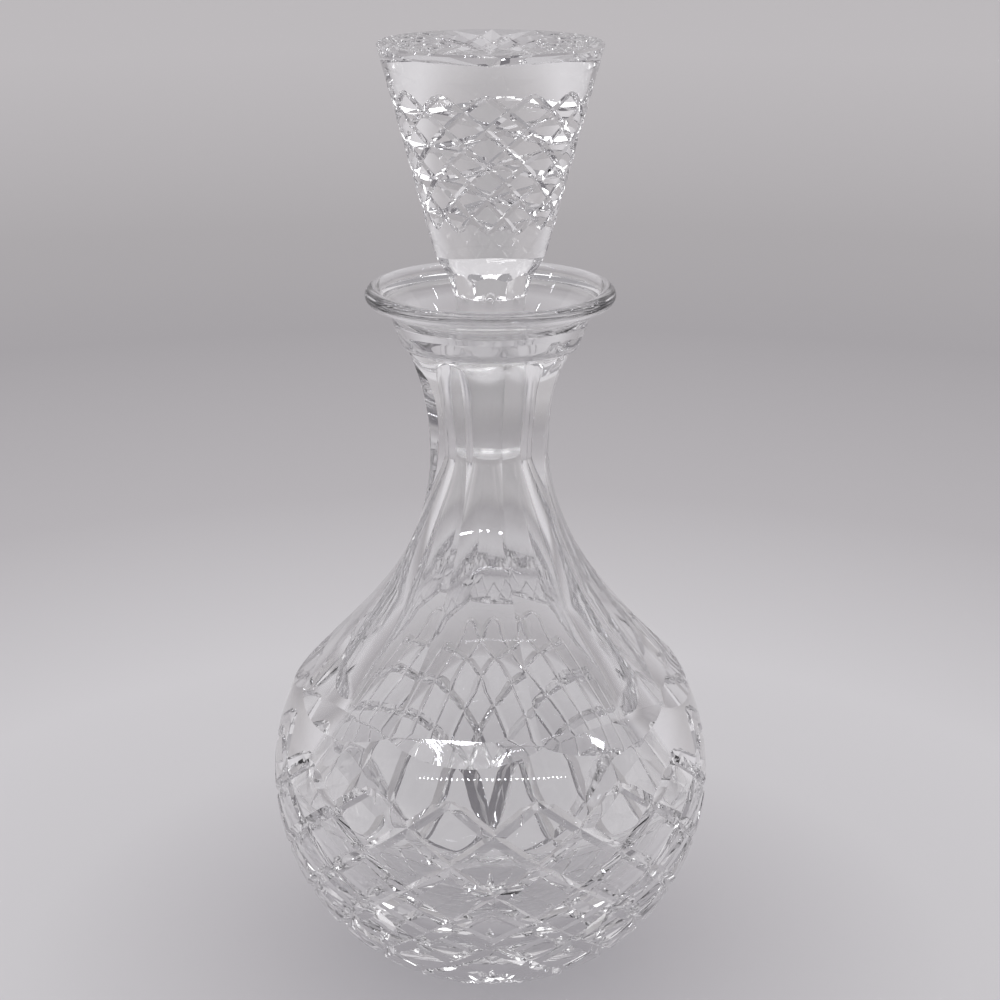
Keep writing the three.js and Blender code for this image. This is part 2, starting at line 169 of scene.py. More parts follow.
def steps(count):
    """Even shares from 0 to 1 in a column, so that each share makes a row of points."""
    return np.linspace(0, 1, count)[:, None]


def bezier(handles, shares):
    """Points of a Bezier curve: neighbouring handles are mixed share by share until one is left."""
    level = [np.asarray(handle, float) for handle in handles]
    while len(level) > 1:
        level = [lerp(first, second, shares) for first, second in zip(level, level[1:])]
    return level[0]


def onwards(point, degrees, distance):
    """The profile point at a distance from another one, in a direction above the horizontal: the distance
    times the direction's cosine outwards, and times its sine upwards."""
    direction = np.radians(degrees)
    return np.stack((point[0] + distance * np.cos(direction), point[1] + distance * np.sin(direction)), axis=-1)


def rings(radius, height, azimuth):
    """Rows of rings as (radius, height, azimuth) triples, one row for each ring."""
    return np.stack(np.broadcast_arrays(radius, height, azimuth), axis=-1)


def revolved(profile, azimuth):
    """Plain rings, one for each point (radius, height) of a profile."""
    profile = np.asarray(profile, float)
    return rings(profile[:, :1], profile[:, 1:], azimuth)


# %% From rings to meshes
SHARP_ANGLE = 13


def points_in_metres(cylinder):
    """x is radius times the sine of azimuth and y is minus radius times its cosine, so azimuth 0 faces -Y."""
    radius, height, azimuth = np.moveaxis(cylinder, -1, 0)
    return np.stack((radius * np.sin(azimuth), -radius * np.cos(azimuth), height), axis=-1) * MM


def new_object(name, vertices, faces):
    """A mesh object at the origin, unturned."""
    mesh = bpy.data.meshes.new(name)
    mesh.from_pydata(vertices, [], faces)
    piece = bpy.data.objects.new(name, mesh)
    scene.collection.objects.link(piece)
    return piece


def closed_skin(name, cylinder, rising):
    """A closed mesh from a grid of rings whose first and last ring are single points. Each square of the
    grid is cut along the diagonal that rises to the right, or along the other one. Edges are sharp where
    their faces meet at more than SHARP_ANGLE."""
    points = points_in_metres(cylinder)
    rows, columns = points.shape[:2]
    inner = (rows - 2) * columns
    index = np.concatenate((
        np.zeros((1, columns), int),
        1 + np.arange(inner).reshape(rows - 2, columns),
        np.full((1, columns), 1 + inner),
    ))
    here, above = index[:-1], index[1:]
    right, above_right = np.roll(here, -1, axis=1), np.roll(above, -1, axis=1)
    lower = np.where(rising, (here, right, above_right), (here, right, above))
    upper = np.where(rising, (here, above_right, above), (right, above_right, above))
    faces = np.concatenate((lower.reshape(3, -1), upper.reshape(3, -1)), axis=1).T
    real = (faces[:, 0] != faces[:, 1]) & (faces[:, 1] != faces[:, 2]) & (faces[:, 2] != faces[:, 0])
    vertices = np.concatenate((points[0, :1], points[1:-1].reshape(-1, 3), points[-1, :1]))
    piece = new_object(name, vertices, faces[real])
    piece.data.shade_smooth()
    piece.data.set_sharp_from_angle(angle=math.radians(SHARP_ANGLE))
    print(f"{name}: {rows} rings of {columns}, {len(piece.data.polygons)} triangles")
    return piece


# %% [markdown]
# ## Mitre cuts
#
# A cutter presses the glass against a wheel with a V-shaped edge. Two families of such cuts cross and
# leave a net of diamonds. A bump map could hint at them, but only real flanks bend light as the cuts do.
# Each cell of the net holds one stretch of a cut along its diagonal, and the grid has eight steps along
# a cell, so that both edges and the bottom of the V lie on mesh edges. The cuts are made by hand: each
# one strays a little from its line and is a little deeper or shallower.

# %% A net of diamonds
CELL_STEPS = 8
CUT_SHARE = 2 / CELL_STEPS
STRAY = 0.02
DEPTH_STRAY = 0.08


def per_cut(random, cuts, spread, at):
    """A random value for each cut of a family, mixed evenly between neighbouring cuts."""
    values = random.normal(0, spread, cuts)
    return np.interp(at % cuts, np.arange(cuts + 1), np.append(values, values[0]))


def diamond_net(around, rows, turn, seed, surface):
    """Rings of a net of diamonds. Depth falls straight from the bottom of the V to its edges: it is 1 minus
    the distance from the cell's diagonal over the cut's share of the cell, and fades at the net's ends.
    The diagonal rises to the right where column plus row is even, and falls in the other cells.
    surface(rows up, depth share) gives radius and height."""
    random = np.random.default_rng(seed)
    across, up = np.meshgrid(
        np.arange(around * 2 * CELL_STEPS) / CELL_STEPS, np.arange(rows * CELL_STEPS + 1) / CELL_STEPS
    )
    column = np.floor(across)
    row = np.minimum(np.floor(up), rows - 1)
    rising = (column + row) % 2 == 0
    along, side = across - column, up - row
    from_cut = np.abs(np.where(rising, along - side, along + side - 1)) / CUT_SHARE
    from_end = np.minimum(up, rows - up) / CUT_SHARE
    falling_cut = (across + up) / 2
    rising_cut = (across - up) / 2
    own_cut = np.where(rising, rising_cut, falling_cut)
    strength = 1 + per_cut(random, around, DEPTH_STRAY, own_cut)
    depth = np.maximum(0, np.minimum(1, from_end) - from_cut) * strength
    falling_stray = per_cut(random, around, STRAY, falling_cut)
    rising_stray = per_cut(random, around, STRAY, rising_cut)
    strayed_across = across + falling_stray + rising_stray
    strayed_up = up + falling_stray - rising_stray
    radius, height = surface(strayed_up, depth)
    azimuth = np.radians(turn + strayed_across * 180 / around)
    return rings(radius, height, azimuth), rising[:-1]


def star_radius(azimuth, rays, notch_radius, point_radius):
    """Outline of a star as a radius for each azimuth. Between a point and a notch it is a straight line:
    the product of both radii and the sine of the angle between them, over the sum of the notch's radius
    times the sine of the angle to the notch and the point's radius times the sine of the angle to it."""
    half = math.pi / rays
    from_point = np.abs((azimuth + half) % (2 * half) - half)
    return (notch_radius * point_radius * math.sin(half)) / (
        notch_radius * np.sin(half - from_point) + point_radius * np.sin(from_point)
    )


# %% [markdown]
# ## The body's outside
#
# From the star under the foot to the rolled lip. The bowl is a ball with a flat base. The neck has eight
# long flutes, ground lengthwise on a wide wheel: nearly flat facets that meet in sharp ridges. Each ends
# below in a lens-shaped facet on the shoulder and above in an arch under the collar. The ridges wander
# a little round the neck, as they do where flutes are ground by eye. Planes could be cut off a turned
# neck, but here a ridge is itself a Bezier curve, and one grid carries on from the diamonds to the lip.

# %% Foot and bowl
STAR_RINGS = 9
RIM_RINGS = 4
BODY_COLUMNS = DIAMONDS_AROUND * 2 * CELL_STEPS
body_azimuth = np.arange(BODY_COLUMNS) * 2 * math.pi / BODY_COLUMNS
base_latitude = -math.degrees(math.acos(BASE_RADIUS / BOWL_RADIUS))
net_latitude = base_latitude + math.degrees(BASE_BAND / BOWL_RADIUS)


def foot_rings():
    """The star is a shallow pyramid: rings shrink towards its middle as the cut gets deeper."""
    outline = star_radius(body_azimuth, STAR_RAYS, BASE_STAR_NOTCH, BASE_STAR_RADIUS)
    share = steps(STAR_RINGS)
    star = rings(outline * share, BASE_STAR_DEPTH * (1 - share), body_azimuth)
    rim = rings(lerp(outline, BASE_RADIUS, steps(RIM_RINGS)[1:]), 0, body_azimuth)
    return np.concatenate((star, rim))


def on_ball(ball_radius, latitude):
    """Radius and height on a ball about the bowl's centre: cosine and sine of latitude times its radius."""
    return ball_radius * np.cos(latitude), BOWL_CENTRE + ball_radius * np.sin(latitude)


def bowl_surface(up, depth):
    """The rows are even steps of latitude, and a cut takes its depth off the ball's radius."""
    latitude = np.radians(lerp(net_latitude, DIAMOND_TOP_LATITUDE, up / DIAMOND_ROWS))
    return on_ball(BOWL_RADIUS - MITRE_DEPTH * depth, latitude)


bowl_net, bowl_rising = diamond_net(DIAMONDS_AROUND, DIAMOND_ROWS, turn=0, seed=11, surface=bowl_surface)
print(f"bowl: {DIAMONDS_AROUND} x {DIAMOND_ROWS} diamonds, {bowl_net.shape[0]} rings")

# %% Flutes of the neck
# How many degrees each ridge strays, and the crown's height by how far up it is: 0 is the shoulder, 1 the
# waist and 2 the neck's top.
RIDGE_DRIFT = (-4, -1, 2, 1, -2, 1, -1, 8)
FLUTE_CROWN = {0: 0, 0.25: 0.75, 1: 0.25, 2: 0}
FLUTES_BEFORE_FIRST_RIDGE = 0.25
BALL_RINGS = 7
LENS_RINGS = 6
SHOULDER_RINGS = 45
NECK_RINGS = 25


def flutes_past_first_ridge():
    """How many flutes each column lies past the first ridge, less than FLUTES."""
    return (body_azimuth * FLUTES / (2 * math.pi) - FLUTES_BEFORE_FIRST_RIDGE) % FLUTES


def flute_share():
    """Where each column lies across its flute: 0 in the middle and 1 on the ridges."""
    return np.abs(flutes_past_first_ridge() % 1 * 2 - 1)


def ridge_curve():
    """Two Bezier curves: up from the shoulder of the ball to the waist, then flaring to the neck's top.
    Also how far up each point is: 0 to 1 on the lower curve, and 1 to 2 on the upper one."""
    shoulder = onwards((0, BOWL_CENTRE), RIDGE_END_LATITUDE, BOWL_RADIUS)
    waist = (WAIST_RADIUS, WAIST_HEIGHT)
    lower = (
        shoulder,
        onwards(shoulder, 180 - SHOULDER_SLOPE, SHOULDER_SWEEP),
        (WAIST_RADIUS, WAIST_HEIGHT - NECK_SWEEP),
        waist,
    )
    upper = (
        waist,
        (WAIST_RADIUS, (WAIST_HEIGHT + NECK_TOP_HEIGHT) / 2),
        ((WAIST_RADIUS + NECK_TOP_RADIUS) / 2, NECK_TOP_HEIGHT - NECK_TOP_FLARE),
        (NECK_TOP_RADIUS, NECK_TOP_HEIGHT),
    )
    low_shares, high_shares = steps(SHOULDER_RINGS), steps(NECK_RINGS)[1:]
    points = np.concatenate((bezier(lower, low_shares), bezier(upper, high_shares)))
    return points, np.concatenate((low_shares, 1 + high_shares))


def flute_rings():
    """The middle of a flute lies where a flat facet between its ridges would: at the ridge's radius times
    the cosine of half a flute, and higher by the crown that polishing leaves on it. From there the surface
    rises to the ridges by the square of the share across. The arch at the top drops the middle by the cube
    of the way up from the waist, and the ridges' drift grows up to the waist."""
    points, climb = ridge_curve()
    to_ridge = flute_share() ** 2
    ridge_radius, ridge_height = points[:, :1], points[:, 1:]
    crown = np.interp(climb, list(FLUTE_CROWN), list(FLUTE_CROWN.values()))
    floor_radius = ridge_radius * math.cos(math.pi / FLUTES) + crown
    floor_height = ridge_height - FLUTE_TOP_DROP * np.maximum(climb - 1, 0) ** 3
    drift = np.interp(flutes_past_first_ridge(), np.arange(FLUTES + 1), (*RIDGE_DRIFT, RIDGE_DRIFT[0]))
    azimuth = body_azimuth + np.radians(FLUTE_TURN + drift * np.minimum(climb, 1))
    return rings(
        lerp(floor_radius, ridge_radius, to_ridge), lerp(floor_height, ridge_height, to_ridge), azimuth
    )


def shoulder_rings(net_edge, first_flute_ring):
    """The plain ball from the diamonds to the lower edge of the lens facets, whose latitude is mixed from
    one edge to the other, and then the lens facets themselves, straight up to the flutes."""
    tip_latitude = RIDGE_END_LATITUDE - LENS_TIP_MARGIN
    lens_latitude = np.radians(lerp(LENS_LOW_LATITUDE, tip_latitude, flute_share() ** 2))
    edge_latitude = np.arcsin((net_edge[:, 1] - BOWL_CENTRE) / BOWL_RADIUS)
    share = steps(BALL_RINGS)[1:]
    latitude = lerp(edge_latitude, lens_latitude, share)
    ball = rings(*on_ball(BOWL_RADIUS, latitude), lerp(net_edge[:, 2], first_flute_ring[:, 2], share))
    lens = lerp(ball[-1], first_flute_ring, steps(LENS_RINGS)[1:-1, None])
    return np.concatenate((ball, lens))


flutes = flute_rings()
shoulder = shoulder_rings(bowl_net[-1], flutes[0])
waist_across = 2 * flutes[SHOULDER_RINGS - 1, :, 0].min()
print(f"neck: {FLUTES} flutes, {len(flutes)} rings, {waist_across:.1f} mm across flats at the waist")

# %% Collar and lip
ROLL_START, ROLL_END = -50, 150
ROLL_RINGS = 33
COVE_RINGS = 13


def collar_profile():
    """A step, a flat collar, a hollow cove below the flare, and the lip as most of a circle."""
    collar_low = NECK_TOP_HEIGHT + COLLAR_STEP
    collar_high = collar_low + COLLAR_HEIGHT
    roll_centre = (LIP_RADIUS - LIP_ROLL, ROLL_HEIGHT)
    roll = onwards(roll_centre, np.linspace(ROLL_START, ROLL_END, ROLL_RINGS), LIP_ROLL)
    below_roll = (COLLAR_HIGH_RADIUS + LIP_ROLL / 4, ROLL_HEIGHT - LIP_ROLL)
    cove = bezier(((COLLAR_HIGH_RADIUS, collar_high), below_roll, roll[0]), steps(COVE_RINGS))
    collar = (
        (NECK_TOP_RADIUS, NECK_TOP_HEIGHT + COLLAR_STEP / 2),
        (COLLAR_LOW_RADIUS, collar_low),
        ((COLLAR_LOW_RADIUS + COLLAR_HIGH_RADIUS) / 2, (collar_low + collar_high) / 2),
    )
    return np.concatenate((collar, cove, roll[1:]))


collar = collar_profile()
print(f"collar and lip: {len(collar)} rings, {2 * collar[:, 0].max():.1f} mm wide")

# %% [markdown]
# ## The body's inside
#
# The mouth is a straight funnel that bends into a nearly level shelf. The socket is a cone ground to fit
# the peg, and below it the bore opens into the blown hollow of the bowl. Blown glass is never quite even,
# so the hollow has a slow ripple, which bends the lines of the far side when one looks through. A second
# surface offset from the outside could serve, but the hollow is blown, not cut, and has its own outline.

# %% Mouth, socket, bore and hollow
# Rings of the socket and of the bore that the rounded corner between them replaces.
SOCKET_ROUNDING = (1, 9)
FUNNEL_RINGS = 7
BEND_RINGS = 13
SHELF_RINGS = 5
SOCKET_RINGS = 17
CORNER_RINGS = 17
BORE_RINGS = 31
BELLY_RINGS = 41
FLOOR_RINGS = 37


def seat_radius(height):
    """The socket's cone: mixed from the peg's lower radius to its upper one, plus the clearance."""
    share = (height - PEG_BOTTOM) / PEG_LENGTH
    return lerp(PEG_BOTTOM_RADIUS, PEG_TOP_RADIUS, share) + SEAT_CLEARANCE


def mouth_profile(socket_mouth):
    """A straight funnel, a quadratic bend whose corner lies on the funnel's line, and a level shelf."""
    lip_end = np.array((LIP_RADIUS - LIP_ROLL * 2, ROLL_HEIGHT))
    foot = np.array((FUNNEL_FOOT_RADIUS, socket_mouth[1] + FUNNEL_FOOT_RISE))
    shelf = np.array((SHELF_RADIUS, socket_mouth[1] + SHELF_RISE))
    corner = lerp(lip_end, foot, (lip_end[1] - shelf[1]) / (lip_end[1] - foot[1]))
    funnel = lerp(lip_end, foot, steps(FUNNEL_RINGS)[:-1])
    bend = bezier((foot, corner, shelf), steps(BEND_RINGS))
    level = lerp(shelf, socket_mouth, steps(SHELF_RINGS)[1:])
    return np.concatenate((funnel, bend, level))


def bore_profile(socket_bottom, hollow_radius):
    """The bore as a quadratic curve, swollen in its middle, and a cubic one that goes on from it to the
    widest ring of the hollow."""
    bore_foot = np.array((BORE_FOOT_RADIUS, WAIST_HEIGHT - BORE_FOOT_BELOW_WAIST))
    swell = lerp(socket_bottom, bore_foot, 0.5) + (BORE_SWELL, 0)
    onward = (bore_foot - swell) / np.linalg.norm(bore_foot - swell) * BELLY_SWEEP_HIGH
    widest = (hollow_radius, BOWL_CENTRE)
    above_widest = (hollow_radius, BOWL_CENTRE + BELLY_SWEEP_LOW)
    bore = bezier((socket_bottom, swell, bore_foot), steps(BORE_RINGS))
    belly = bezier((bore_foot, bore_foot + onward, above_widest, widest), steps(BELLY_RINGS))
    return np.concatenate((bore[1:], belly[1:]))


def hollow_profile():
    """The mouth, the straight socket, the bore, and the lower half as half an ellipse. A quadratic curve
    rounds the corner between socket and bore, in place of the rings that SOCKET_ROUNDING counts."""
    mouth = np.array((seat_radius(SOCKET_MOUTH), SOCKET_MOUTH))
    bottom = np.array((seat_radius(SOCKET_BOTTOM), SOCKET_BOTTOM))
    socket = lerp(mouth, bottom, steps(SOCKET_RINGS)[1:])
    hollow_radius = BOWL_RADIUS - BOWL_WALL
    latitude = np.radians(np.linspace(0, -90, FLOOR_RINGS)[1:])
    depth = BOWL_CENTRE - FLOOR_THICKNESS
    lower = np.stack((hollow_radius * np.cos(latitude), BOWL_CENTRE + depth * np.sin(latitude)), axis=-1)
    lower[-1, 0] = 0
    bore = bore_profile(bottom, hollow_radius)
    above, below = socket[:-SOCKET_ROUNDING[0]], bore[SOCKET_ROUNDING[1]:]
    rounded = bezier((above[-1], bottom, below[0]), steps(CORNER_RINGS))[1:-1]
    return np.concatenate((mouth_profile(mouth), above, rounded, below, lower))


# %% Ripple of the blown glass
RIPPLE = 0.05
RIPPLE_WAVES = 14
MOST_RIPPLE_TURNS = 8
RIPPLE_LENGTHS = (25, 90)
RIPPLE_FADE = 20


def rippled(hollow, seed):
    """Adds slow waves to the radius, each a sine of turns around and of height. They grow from nothing in
    the socket to full size below it, and shrink near the axis."""
    random = np.random.default_rng(seed)
    radius, height, azimuth = np.moveaxis(hollow, -1, 0)
    wave = np.zeros_like(radius)
    for _ in range(RIPPLE_WAVES):
        turns, phase = random.integers(1, MOST_RIPPLE_TURNS + 1), random.uniform(0, 2 * math.pi)
        length = random.uniform(*RIPPLE_LENGTHS)
        wave += np.sin(turns * azimuth + 2 * math.pi * height / length + phase)
    below_socket = np.clip((SOCKET_BOTTOM - height) / RIPPLE_FADE, 0, 1)
    size = RIPPLE * below_socket * np.clip(radius / WAIST_RADIUS, 0, 1)
    return rings(radius + size * wave / math.sqrt(RIPPLE_WAVES / 2), height, azimuth)


hollow = rippled(revolved(hollow_profile(), body_azimuth), seed=5)
print(f"hollow: {hollow.shape[0]} rings, floor at {hollow[-1, 0, 1]:.1f} mm")

# %% Build the body
foot = foot_rings()
body_grid = np.concatenate((foot, bowl_net, shoulder, flutes, revolved(collar, body_azimuth), hollow))
body_rising = np.zeros((len(body_grid) - 1, BODY_COLUMNS), bool)
body_rising[len(foot):len(foot) + len(bowl_rising)] = bowl_rising
body_skin = closed_skin("body_skin", body_grid, body_rising)

# %% [markdown]
# ## The stopper
#
# A solid piece: a ground peg, eight facets at the foot, a cone with a net of small diamonds, and a star
# cut into its flat top. It is turned a little from the body, as it was dropped in. The facets could be
# planes cut off a cone, but their edges would cross the grid, so each ring is bent to the eight sides.

# %% Peg, facets, cone and top
PEG_RINGS = 9
LOW_FACET_RINGS = 7
HIGH_FACET_RINGS = 6
LEAD_IN_RINGS = 7
LEAD_OUT_RINGS = 9
FLAT_TOP_RINGS = 4
TOP_STAR_RINGS = 11
HEAD_COLUMNS = HEAD_DIAMONDS_AROUND * 2 * CELL_STEPS
head_azimuth = np.arange(HEAD_COLUMNS) * 2 * math.pi / HEAD_COLUMNS
head_taper = math.atan2(HEAD_RADIUS - HEAD_FOOT_RADIUS, HEAD_HEIGHT)


def head_radius(rise):
    """The cone, mixed evenly from its foot to its top."""
    return lerp(HEAD_FOOT_RADIUS, HEAD_RADIUS, rise / HEAD_HEIGHT)


def head_surface(up, depth):
    """The rows are even steps up the cone, and a cut goes in square to its side."""
    rise = lerp(HEAD_DIAMONDS_BOTTOM, HEAD_DIAMONDS_TOP, up / HEAD_DIAMOND_ROWS)
    cut = HEAD_MITRE_DEPTH * depth
    return head_radius(rise) - cut * math.cos(head_taper), PEG_TOP + rise + cut * math.sin(head_taper)


def peg_profile():
    """A flat end, a chamfer, and the straight side of the cone."""
    side_foot = PEG_BOTTOM + PEG_CHAMFER
    side = lerp(
        np.array((seat_radius(side_foot) - SEAT_CLEARANCE, side_foot)),
        np.array((PEG_TOP_RADIUS, PEG_TOP)),
        steps(PEG_RINGS),
    )
    end = [(radius, PEG_BOTTOM) for radius in (0, PEG_BOTTOM_RADIUS / 2, PEG_BOTTOM_RADIUS - PEG_CHAMFER)]
    return np.concatenate((end, side))


def facet_rings():
    """Two tiers of flat facets. A facet's radius is its distance from the axis over the cosine of the angle
    from its middle. The upper tier ends where its planes run out of the cone."""
    from_middle = (head_azimuth * FACETS / (2 * math.pi) + 0.5) % 1 - 0.5
    stretch = 1 / np.cos(from_middle * 2 * math.pi / FACETS)
    corner = (1 - np.cos(head_azimuth * FACETS)) / 2
    low_edge = np.stack(
        (stretch * (PEG_TOP_RADIUS + FACET_LOW_STEP), np.full(HEAD_COLUMNS, PEG_TOP + FACET_LOW_RISE))
    )
    edge = np.stack((stretch * FACET_EDGE_RADIUS, PEG_TOP + FACET_EDGE_HEIGHT - FACET_SCALLOP * corner))
    slope = (head_radius(FACET_TOP_HEIGHT) - FACET_EDGE_RADIUS) / (FACET_TOP_HEIGHT - FACET_EDGE_HEIGHT)
    shortfall = head_radius(FACET_EDGE_HEIGHT) - FACET_EDGE_RADIUS * stretch
    rise = FACET_EDGE_HEIGHT + shortfall / (slope * stretch - math.tan(head_taper))
    run_out = np.stack((head_radius(rise), PEG_TOP + rise))
    lower = lerp(low_edge, edge, steps(LOW_FACET_RINGS)[:, None])
    upper = lerp(edge, run_out, steps(HIGH_FACET_RINGS)[1:, None])
    return rings(*np.moveaxis(np.concatenate((lower, upper)), 1, 0), head_azimuth)


def star_top_rings():
    """A flat rim, and a star whose rings shrink towards its middle as the cut gets deeper."""
    top_radius = HEAD_RADIUS - HEAD_BEVEL
    outline = star_radius(head_azimuth, STAR_RAYS, HEAD_STAR_NOTCH, top_radius - HEAD_STAR_MARGIN)
    flat = rings(lerp(top_radius, outline, steps(FLAT_TOP_RINGS)), HEAD_TOP, head_azimuth)
    share = 1 - steps(TOP_STAR_RINGS)[1:]
    star = rings(outline * share, HEAD_TOP - HEAD_STAR_DEPTH * (1 - share), head_azimuth)
    return np.concatenate((flat, star))


head_net, head_rising = diamond_net(
    HEAD_DIAMONDS_AROUND, HEAD_DIAMOND_ROWS, turn=HEAD_DIAMOND_TURN, seed=23, surface=head_surface
)
facets = facet_rings()
print(f"stopper: {FACETS} facets, {HEAD_DIAMONDS_AROUND} x {HEAD_DIAMOND_ROWS} diamonds")

# %% Build the stopper
bevel_low = (head_radius(HEAD_HEIGHT - HEAD_BEVEL), HEAD_TOP - HEAD_BEVEL)
bevel_ring = revolved([bevel_low], head_azimuth)[0]
peg = revolved(peg_profile(), head_azimuth)
lead_in = lerp(facets[-1], head_net[0], steps(LEAD_IN_RINGS)[1:-1, None])
lead_out = lerp(head_net[-1], bevel_ring, steps(LEAD_OUT_RINGS)[1:, None])
stopper_grid = np.concatenate((peg, facets, lead_in, head_net, lead_out, star_top_rings()))
stopper_grid[..., 2] += math.radians(STOPPER_TURN)
stopper_rising = np.zeros((len(stopper_grid) - 1, HEAD_COLUMNS), bool)
net_start = len(peg) + len(facets) + len(lead_in)
stopper_rising[net_start:net_start + len(head_rising)] = head_rising
stopper_skin = closed_skin("stopper_skin", stopper_grid, stopper_rising)

# %% [markdown]
# ## Lead crystal
#
# Crystal is clear glass with lead oxide: colourless, with a high index of refraction near 1.545. The cuts
# are polished in acid, which leaves a bright but faintly rippled surface. The peg, down to its end, and its
# socket are ground with carborundum, which leaves them satin: the end gathers light as a soft bright disc.
# Polish and satin could be two materials on one piece, but the grinding fades out, so each piece has one
# material that mixes its roughness by place. Lamps must shine through the glass, so shadow rays meet a
# nearly clear Transparent shader in place of the solid one.

# %% Node helpers
def srgb(code):
    """Linear colour of an sRGB hex code such as "e3e8ea"."""
    values = [int(code[start:start + 2], 16) / 255 for start in (0, 2, 4)]
    linear = [v / 12.92 if v <= 0.04045 else ((v + 0.055) / 1.055) ** 2.4 for v in values]
    return (*linear, 1)


def add_node(tree, kind, inputs=None, **settings):
    """Adds a node and sets its properties. Each input, by name or number, gets another node's output or a
    plain value."""
    node = tree.nodes.new(kind)
    for name, value in settings.items():
        setattr(node, name, value)
    for name, value in (inputs or {}).items():
        if isinstance(value, bpy.types.NodeSocket):
            tree.links.new(value, node.inputs[name])
        else:
            node.inputs[name].default_value = value
    return node


def calculate(tree, operation, *terms):
    """The result of a Math node on outputs and plain numbers."""
    return add_node(tree, "ShaderNodeMath", dict(enumerate(terms)), operation=operation).outputs[0]


def smooth_rise(tree, value, start, end):
    """0 up to the start and 1 from the end on, with an S-shaped curve between."""
    limits = {"Value": value, "From Min": start, "From Max": end}
    return add_node(tree, "ShaderNodeMapRange", limits, interpolation_type="SMOOTHSTEP").outputs["Result"]


def from_axis(tree, place):
    """Distance from the upright axis: the length of the place's x and y."""
    flat = add_node(tree, "ShaderNodeVectorMath", {0: place, 1: (1, 1, 0)}, operation="MULTIPLY")
    return add_node(tree, "ShaderNodeVectorMath", {0: flat.outputs[0]}, operation="LENGTH").outputs["Value"]


def mixed_colour(tree, share, first, second):
    """The first colour where the share is 0, and the second where it is 1."""
    return add_node(tree, "ShaderNodeMix", {"Factor": share, 6: first, 7: second}, data_type="RGBA").outputs[2]


def new_tree(name):
    """A material and its empty node tree."""
    material = bpy.data.materials.new(name)
    material.use_nodes = True
    material.node_tree.nodes.clear()
    return material, material.node_tree


print("half grey turned linear:", round(srgb("808080")[0], 3))

# %% Crystal material
INDEX_OF_REFRACTION = 1.545
CRYSTAL_COLOUR = "fcfcfc"
SHADOW_COLOUR = "e4e6e8"
POLISH_ROUGHNESS = 0.015
POLISH_WAVE_SCALE = 110
POLISH_WAVE_DETAIL = 2
POLISH_WAVE_HEIGHT = 0.05
POLISH_WAVE_STRENGTH = 0.12
GROUND_ROUGHNESS = 0.17
GROUND_RADIUS = 12
GROUND_FADE = 5
SOCKET_GROUND_ABOVE_PEG_END = 5


def crystal(name, ground_low, ground_high):
    """Polished crystal, satin where it is ground: nearer the axis than the ground radius, and between two
    heights, inside which the grinding fades out."""
    material, tree = new_tree(name)
    place = add_node(tree, "ShaderNodeTexCoord").outputs["Object"]
    height = add_node(tree, "ShaderNodeSeparateXYZ", {0: place}).outputs["Z"]
    ground = calculate(tree, "LESS_THAN", from_axis(tree, place), GROUND_RADIUS * MM)
    for edge, inwards in ((ground_low, 1), (ground_high, -1)):
        fade = smooth_rise(tree, height, edge * MM, (edge + inwards * GROUND_FADE) * MM)
        ground = calculate(tree, "MULTIPLY", ground, fade)
    roughness = add_node(
        tree, "ShaderNodeMapRange", {"Value": ground, "To Min": POLISH_ROUGHNESS, "To Max": GROUND_ROUGHNESS}
    ).outputs["Result"]
    wave = add_node(
        tree, "ShaderNodeTexNoise", {"Vector": place, "Scale": POLISH_WAVE_SCALE, "Detail": POLISH_WAVE_DETAIL}
    ).outputs["Fac"]
    bump = add_node(
        tree,
        "ShaderNodeBump",
        {"Height": wave, "Strength": POLISH_WAVE_STRENGTH, "Distance": POLISH_WAVE_HEIGHT * MM},
    ).outputs["Normal"]
    glass = add_node(
        tree,
        "ShaderNodeBsdfPrincipled",
        {
            "Base Color": srgb(CRYSTAL_COLOUR),
            "Roughness": roughness,
            "IOR": INDEX_OF_REFRACTION,
            "Normal": bump,
            "Transmission Weight": 1,
        },
    ).outputs[0]
    clear = add_node(tree, "ShaderNodeBsdfTransparent", {"Color": srgb(SHADOW_COLOUR)}).outputs[0]
    in_shadow = add_node(tree, "ShaderNodeLightPath").outputs["Is Shadow Ray"]
    shade = add_node(tree, "ShaderNodeMixShader", {0: in_shadow, 1: glass, 2: clear}).outputs[0]
    add_node(tree, "ShaderNodeOutputMaterial", {"Surface": shade})
    print(f"{name}: ground from {ground_low:.0f} to {ground_high:.0f} mm")
    return material


socket_ground_low = PEG_BOTTOM + SOCKET_GROUND_ABOVE_PEG_END
body_crystal = crystal("lead_crystal_cut_and_acid_polished", socket_ground_low, SOCKET_MOUTH)
stopper_crystal = crystal("lead_crystal_stopper_with_ground_peg", PEG_BOTTOM - GROUND_FADE, PEG_TOP)

# %% Dress the nodes
body_skin.data.materials.append(body_crystal)
stopper_skin.data.materials.append(stopper_crystal)
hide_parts("decanter_body")
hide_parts("stopper")
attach(body_skin, "decanter")
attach(stopper_skin, "stopper")
print("dressed:", body_skin.name, "and", stopper_skin.name)

# %% [markdown]
# ## The studio
#
# Glass shows little but what lies round it, so this decides how it looks. A pale paper sweep stands all round,
# so that every side has the same backdrop. It glows for the camera in pale shades that are painted light and
# shade: a painted shadow round the foot, and brighter further out. Only rays that come off or through the glass
# see more of a room, which is painted on the paper's glow as painted light and shade: bright sides, which
# whiten the edges of the glass, with a dark end to each, a bright ceiling, a plain back and a dim front. The
# cuts turn light round, so they show the painted dim front as dark lines. Real walls and flags could stand
# there, but they would show to the camera in some view, and they would shade the paper.

# %% Paper sweep
SWEEP_MIDDLE = 250
SWEEP_FLAT = 900
SWEEP_CURVE = 300
SWEEP_HEIGHT = 1000
SWEEP_CURVE_RINGS = 33
SWEEP_COLUMNS = 96


